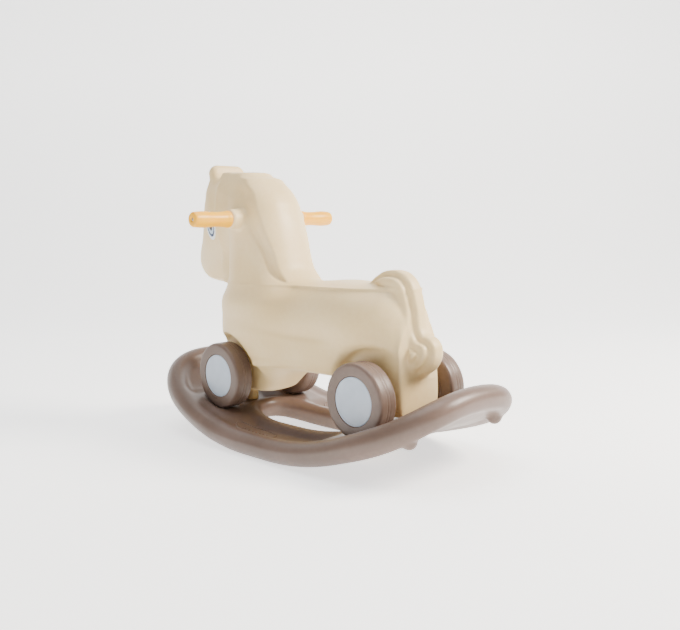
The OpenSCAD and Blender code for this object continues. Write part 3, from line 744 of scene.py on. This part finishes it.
# %% Wheels and their discs
wheel_w = wheel_out - wheel_in
disc_t, seat_depth = 2.5, 3.5
WHEEL = [
    (5.6, seat_depth, 0), (5.6, 1, 0.4), (12, 1, 1.5), (15, 4, 3), (34, 4, 4), (38, 0.2, 3),
    (wheel_r, 0, 15), (wheel_r - 0.1, 14, 1.4), (wheel_r - 0.7, 15.5, 1.4), (wheel_r - 0.1, 17, 1.4),
    (wheel_r, wheel_w / 2, 6), (wheel_r - 0.1, wheel_w - 17, 1.4), (wheel_r - 0.7, wheel_w - 15.5, 1.4),
    (wheel_r - 0.1, wheel_w - 14, 1.4), (wheel_r - 0.3, wheel_w, 15), (disc_r + 0.7, wheel_w - 0.4, 0.9),
    (disc_r + 0.5, wheel_w - seat_depth, 0.3), (5.6, wheel_w - seat_depth, 0), (5.6, seat_depth, 0)]
DISC = [
    (0, 0, 0), (disc_r - 0.4, 0, 0.4), (disc_r, disc_t - 0.3, 0.9), (disc_r - 3.5, disc_t, 1),
    (disc_r - 4.1, disc_t - 0.35, 0.5), (disc_r - 4.7, disc_t - 0.3, 0.5), (0, disc_t - 0.1, 0)]
SIDES = (("left", 1), ("right", -1))
round_steps = 112
wheels = {}
for end, x_axle in (("front", front_x), ("rear", rear_x)):
    for hand, side in SIDES:
        place = end + "_" + hand
        tyre = turned("tyre_" + place, rounded_profile(WHEEL), side, (x_axle, wheel_in, axle_z),
                      wheel_plastic, round_steps)
        disc = turned("hub_disc_" + place, rounded_profile(DISC), side, (x_axle, disc_out - disc_t, axle_z),
                      disc_plastic, round_steps)
        wheels[place + "_wheel"] = (tyre, disc, place)
print("wheels:", list(wheels), "with", len(tyre.data.polygons), "faces each")

# %% Handlebar grips
grip_base = grip_in + grip_gap
grip_end = grip_out - 3
grip_l = grip_end - grip_base
GRIP = [
    (0, grip_l - 7, 0), (8.2, grip_l - 7, 0.5), (8.2, 0, 0.5), (15.2, 0, 1), (15.9, 2.5, 1.6), (15.4, 6, 2),
    (14.4, 10.5, 6), (13.4, 22, 12), (13.6, 38, 14), (15.0, 56, 14), (14.7, grip_l - 12, 10),
    (13.4, grip_l, 4.5),
    (4.6, grip_l, 0.8), (3.4, grip_l - 2.4, 0.6), (0, grip_l - 2.4, 0)]
SCREW = [
    (0, -6, 0), (1.6, -6, 0.3), (1.6, 0, 0.2), (2.9, 0, 0.2), (2.6, 1.3, 0.8), (1.1, 1.6, 0.2),
    (0.8, 0.7, 0.1), (0, 0.7, 0)]
screw_seat = grip_end - 2.6
grips, grip_screw_heads = {}, []
for hand, side in SIDES:
    grips[hand] = turned("soft_grip_" + hand, rounded_profile(GRIP), side, (bar_x, grip_base, bar_z),
                         grip_plastic, 80)
for hand, side in SIDES:
    grip_screw_heads.append(turned("grip_screw_head_" + hand, rounded_profile(SCREW), side,
                                   (bar_x, screw_seat, bar_z), zinc_steel, 32))
print("grips:", round(grip_l), "mm long")

# %% [markdown]
# ## Eyes
#
# The eyes are printed vinyl labels, so they follow the curve of the head. Each label is a round
# grid of points in side view. Every point is slid sideways until it meets the horse's field, then
# lifted by the label's thickness. The rings of the grid take the print's colours.

# %% Labels that follow the head
def cheek_y(x, z):
    """How far out the horse's skin lies at x, z, found by walking inwards through its field."""
    out = np.full(len(x), 40.0)
    for y in np.arange(90, 39, -0.5):
        value = sample(horse_grid, np.stack([x, np.full(len(x), y), z], axis=1), horse_low, horse_step)
        out = np.where((out == 40) & (value < 0), y + 0.5 * value + 0.25, out)
    return out


def oval_label(name, side, centre, half, rings, lift, turns=64):
    """A curved oval label. rings holds pairs of outer share and material, from the middle out."""
    shares, paints, steps = [], [], 4
    start = 0
    for paint, (share, material) in enumerate(rings):
        for s in range(1, steps + 1):
            shares.append(start + (share - start) * s / steps)
            paints.append(paint)
        start = share
    xs, zs, lifts = [centre[0]], [centre[1]], [lift]
    for share in shares + [1.0]:
        for k in range(turns):
            a = 2 * math.pi * k / turns
            xs.append(centre[0] + half[0] * share * math.cos(a))
            zs.append(centre[1] + half[1] * share * math.sin(a))
            lifts.append(lift)
    lifts[-turns:] = [-0.4] * turns
    y = cheek_y(np.array(xs), np.array(zs)) + np.array(lifts)
    faces, paint_of = [], []
    for k in range(turns):
        faces.append((0, 1 + k, 1 + (k + 1) % turns))
        paint_of.append(0)
    for j in range(len(shares)):
        for k in range(turns):
            n = (k + 1) % turns
            here, beyond = 1 + j * turns, 1 + (j + 1) * turns
            faces.append((here + k, beyond + k, beyond + n, here + n))
            paint_of.append(paints[min(j + 1, len(paints) - 1)])
    outward = [face if side < 0 else face[::-1] for face in faces]
    label = as_mesh(name, np.stack([xs, side * y, zs], axis=1), outward, rings[0][1])
    for _, material in rings[1:]:
        label.data.materials.append(material)
    label.data.polygons.foreach_set("material_index", paint_of)
    return label


eye_at, eye_half = (bar_x + 98, bar_z - 10), (15, 28)
glint_at, glint_half = (eye_at[0] + 2, eye_at[1] + 7), (3.2, 5)
label_t, glint_lift = 0.5, 0.75
EYE_RINGS = [(0.36, vinyl_black), (0.60, vinyl_iris), (0.78, vinyl_navy), (1.0, vinyl_white)]
eyes = {}
for hand, side in SIDES:
    eye = oval_label("eye_label_" + hand, side, eye_at, eye_half, EYE_RINGS, label_t)
    glint = oval_label("eye_glint_" + hand, side, glint_at, glint_half, [(1.0, vinyl_white)], glint_lift, 24)
    eyes[hand] = (eye, glint)
print("eyes:", sorted(eyes))


# %% [markdown]
# ## Foot-rest studs
#
# Each side of the deck has a foot rest beside the front wheel: a low raised oval bead with rows
# of small round studs inside, so that shoes don't slip. What repeats is best made by Geometry
# Nodes. The tree lays a grid of points, keeps those inside the oval and puts one stud on each.

# %% A Geometry Nodes tree of studs
def stud_field_tree():
    """Studs on a grid inside an oval. Its inputs are the oval's half sizes, the pitch and the stud."""
    tree = bpy.data.node_groups.new("stud_field", "GeometryNodeTree")
    face = tree.interface
    sockets = {}
    sizes_mm = {"Half Length": 40, "Half Width": 10, "Pitch": 10, "Stud Radius": 2.4,
                "Stud Height": 1.2, "Bead Radius": 1.6}
    for name, size in sizes_mm.items():
        socket = face.new_socket(name, in_out="INPUT", socket_type="NodeSocketFloat")
        socket.default_value = size * MM
        sockets[name] = socket.identifier
    stuff = face.new_socket("Material", in_out="INPUT", socket_type="NodeSocketMaterial")
    sockets["Material"] = stuff.identifier
    face.new_socket("Geometry", in_out="OUTPUT", socket_type="NodeSocketGeometry")
    given = tree.nodes.new("NodeGroupInput").outputs

    def math_node(operation, *values):
        """One step of arithmetic in the tree."""
        return add(tree, "ShaderNodeMath", {"operation": operation},
                   dict(enumerate(values))).outputs[0]

    def number(value):
        """A constant for the tree."""
        node = tree.nodes.new("ShaderNodeValue")
        node.outputs[0].default_value = value
        return node.outputs[0]

    two, one, oval_share = number(2), number(1), number(0.86)
    full_l = math_node("MULTIPLY", given["Half Length"], two)
    full_w = math_node("MULTIPLY", given["Half Width"], two)
    count_l = math_node("ADD", math_node("DIVIDE", full_l, given["Pitch"]), one)
    count_w = math_node("ADD", math_node("DIVIDE", full_w, given["Pitch"]), one)
    plane = add(tree, "GeometryNodeMeshGrid", links={
        "Size X": full_l, "Size Y": full_w, "Vertices X": count_l, "Vertices Y": count_w})
    spots = add(tree, "GeometryNodeMeshToPoints", links={"Mesh": plane.outputs["Mesh"]})
    position = add(tree, "GeometryNodeInputPosition")
    place = add(tree, "ShaderNodeSeparateXYZ", links={"Vector": position.outputs[0]})
    across = math_node("DIVIDE", place.outputs["X"], given["Half Length"])
    up = math_node("DIVIDE", place.outputs["Y"], given["Half Width"])
    reach = math_node("ADD", math_node("MULTIPLY", across, across), math_node("MULTIPLY", up, up))
    outside = add(tree, "FunctionNodeCompare", {"operation": "GREATER_THAN"}, {0: reach, 1: oval_share})
    kept = add(tree, "GeometryNodeDeleteGeometry", links={
        "Geometry": spots.outputs["Points"], "Selection": outside.outputs[0]})
    ball = add(tree, "GeometryNodeMeshUVSphere", {"Segments": 16, "Rings": 10},
               {"Radius": given["Stud Radius"]})
    squash = math_node("DIVIDE", given["Stud Height"], given["Stud Radius"])
    scale = add(tree, "ShaderNodeCombineXYZ", links={"X": one, "Y": one, "Z": squash})
    flat = add(tree, "GeometryNodeTransform", links={
        "Geometry": ball.outputs["Mesh"], "Scale": scale.outputs[0]})
    studs = add(tree, "GeometryNodeInstanceOnPoints", links={
        "Points": kept.outputs[0], "Instance": flat.outputs[0]})
    ring = add(tree, "GeometryNodeCurvePrimitiveCircle", {"Resolution": 72})
    oval_l = math_node("ADD", given["Half Length"], given["Pitch"])
    oval_w = math_node("ADD", given["Half Width"], given["Pitch"])
    oval_scale = add(tree, "ShaderNodeCombineXYZ", links={"X": oval_l, "Y": oval_w, "Z": one})
    oval = add(tree, "GeometryNodeTransform", links={
        "Geometry": ring.outputs["Curve"], "Scale": oval_scale.outputs[0]})
    cut = add(tree, "GeometryNodeCurvePrimitiveCircle", {"Resolution": 12},
              {"Radius": given["Bead Radius"]})
    bead = add(tree, "GeometryNodeCurveToMesh", links={
        "Curve": oval.outputs[0], "Profile Curve": cut.outputs["Curve"]})
    both = tree.nodes.new("GeometryNodeJoinGeometry")
    tree.links.new(studs.outputs[0], both.inputs[0])
    tree.links.new(bead.outputs[0], both.inputs[0])
    solid = add(tree, "GeometryNodeRealizeInstances", links={"Geometry": both.outputs[0]})
    painted = add(tree, "GeometryNodeSetMaterial", links={
        "Geometry": solid.outputs[0], "Material": given["Material"]})
    tree.links.new(painted.outputs[0], tree.nodes.new("NodeGroupOutput").inputs[0])
    return tree, sockets


def grown(name, tree, sockets, settings):
    """The finished mesh of a node tree with its inputs set, as a plain object with no modifier."""
    seed = bpy.data.objects.new(name + "_seed", bpy.data.meshes.new(name + "_seed"))
    bpy.context.scene.collection.objects.link(seed)
    modifier = seed.modifiers.new("nodes", "NODES")
    modifier.node_group = tree
    for key, value in settings.items():
        modifier[sockets[key]] = value
    bpy.context.view_layer.update()
    ready = seed.evaluated_get(bpy.context.evaluated_depsgraph_get())
    mesh = bpy.data.meshes.new_from_object(ready)
    bpy.data.objects.remove(seed)
    piece = bpy.data.objects.new(name, mesh)
    bpy.context.scene.collection.objects.link(piece)
    return piece


# %% Bend the studs onto the deck
def deck_top(x, y):
    """Height of the base's skin above the floor at x, y, found by walking down its field."""
    top = np.full(len(x), 0.0)
    for z in np.arange(120, 5, -0.5):
        value = sample(base_grid, np.stack([x, y, np.full(len(x), z)], axis=1), base_low, base_step)
        top = np.where((top == 0) & (value < 0), z + 0.25, top)
    return top


stud_tree, stud_sockets = stud_field_tree()
foot_x, foot_y = 50, 110
foot_studs = []
for hand, side in SIDES:
    studs = grown("foot_rest_studs_" + hand, stud_tree, stud_sockets, {"Material": taupe_plastic})
    flat = np.empty(len(studs.data.vertices) * 3)
    studs.data.vertices.foreach_get("co", flat)
    flat = flat.reshape(-1, 3) / MM
    x, y = foot_x + flat[:, 0], side * foot_y + flat[:, 1]
    z = deck_top(x, y) + flat[:, 2]
    studs.data.vertices.foreach_set("co", (np.stack([x, y, z], axis=1) * MM).ravel())
    studs.data.update()
    studs.data.shade_smooth()
    foot_studs.append(studs)
    print(studs.name, len(studs.data.vertices), "vertices")


# %% Floor and light
def stage_floor():
    """A wide pale floor that curves up behind into a plain backdrop."""
    size, curve_r, rise = 6.0, 1.2, 3.0
    back, bend_at, heading = -3.0, 1.6, math.radians(camera_heading)
    ahead = Vector((math.cos(heading), math.sin(heading), 0))
    side = ahead.cross(Vector((0, 0, 1)))
    profile = [(back, 0), (bend_at, 0)]
    profile += [(bend_at + curve_r * math.sin(t), curve_r * (1 - math.cos(t)))
                for t in np.linspace(0, math.pi / 2, 24)[1:]]
    profile += [(bend_at + curve_r, rise)]
    points, faces = [], []
    for far, high in profile:
        for across in (-size, size):
            points.append((ahead * far + side * across + Vector((0, 0, high))) / MM)
    for k in range(len(profile) - 1):
        faces.append((2 * k, 2 * k + 1, 2 * k + 3, 2 * k + 2))
    return as_mesh("studio_floor", points, faces, floor_paint)


floor_paint, floor_tree, floor_shader = surface("matt_studio_paper", {
    "Roughness": 0.9, "Specular IOR Level": 0.2, "Emission Color": colour("#FFFFFF"),
    "Emission Strength": 1.4})
floor_spot = add(floor_tree, "ShaderNodeTexCoord").outputs["Object"]
floor_patch = noise(floor_tree, floor_spot, 400).outputs["Fac"]
floor_tone = ramp(floor_tree, floor_patch, [(0.3, "#F4F4F3"), (0.7, "#F7F7F6")])
floor_tree.links.new(floor_tone, floor_shader.inputs["Base Color"])
stage_floor()


def soft_box(name, place, aim, size, power, tint):
    """A square soft box: an area light at a place in metres, turned to face a point."""
    data = bpy.data.lights.new(name, "AREA")
    data.shape, data.size, data.energy, data.color = "SQUARE", size, power, colour(tint)[:3]
    light = bpy.data.objects.new(name, data)
    bpy.context.scene.collection.objects.link(light)
    light.location = place
    light.rotation_euler = (Vector(aim) - Vector(place)).to_track_quat("-Z", "Y").to_euler()
    return light


target = (0, 0, 0.25)
soft_box("key_soft_box", (-1.7, -1.3, 1.8), target, 1.0, 165, "#FFF6EA")
soft_box("top_soft_box", (0.1, 0.1, 2.6), target, 2.4, 66, "#FFFFFF")
soft_box("fill_soft_box", (-0.9, 2.3, 1.1), target, 1.8, 5, "#F3F6FF")
world = bpy.data.worlds.new("studio_air")
bpy.context.scene.world = world
world.use_nodes = True
air = world.node_tree.nodes["Background"].inputs
air["Color"].default_value, air["Strength"].default_value = colour("#F7F8FA"), 0.3


# %% [markdown]
# ## Every piece rides on its body
#
# A piece that stands for a CAD node hides it and moves with its body.

# %% Ride, replace and name the finishes
def stands_for(piece, body, slot, *nodes):
    """The piece moves with a body and hides the CAD nodes it stands for. The slot is not used."""
    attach(piece, body)
    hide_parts(*nodes)


stands_for(horse_skin, "horse", "horse_plastic", "horse_shell")
stands_for(base_skin, "base", "base_plastic", "rocker_base")
for body, (tyre, disc, place) in wheels.items():
    stands_for(tyre, body, "wheel_plastic", "wheel_" + place)
    stands_for(disc, body, "disc_plastic", "disc_" + place)
for hand in ("left", "right"):
    stands_for(grips[hand], "horse", "grip_plastic", "grip_" + hand)
    stands_for(eyes[hand][0], "horse", "eye_vinyl", "eye_" + hand)
    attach(eyes[hand][1], "horse")
for piece in foot_studs:
    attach(piece, "base")
for head in grip_screw_heads:
    stands_for(head, "horse", "screw_steel", "grip_screws")

CAD_FINISH = {"axle_steel": zinc_steel, "bar_steel": zinc_steel, "screw_steel": zinc_steel,
              "cap_steel": cap_steel,
              "bush_nylon": bush_nylon, "peg_plastic": peg_plastic, "wheel_plastic": wheel_plastic,
              "disc_plastic": disc_plastic, "grip_plastic": grip_plastic, "eye_vinyl": vinyl_white,
              "horse_plastic": cream_plastic, "base_plastic": taupe_plastic}
for part in frame["record"]["subparts"]:
    node = frame["nodes"][part["node"]]
    for slot in node.material_slots:
        slot.material = CAD_FINISH[part["material_slot"]]
    if not node.material_slots:
        node.data.materials.append(CAD_FINISH[part["material_slot"]])
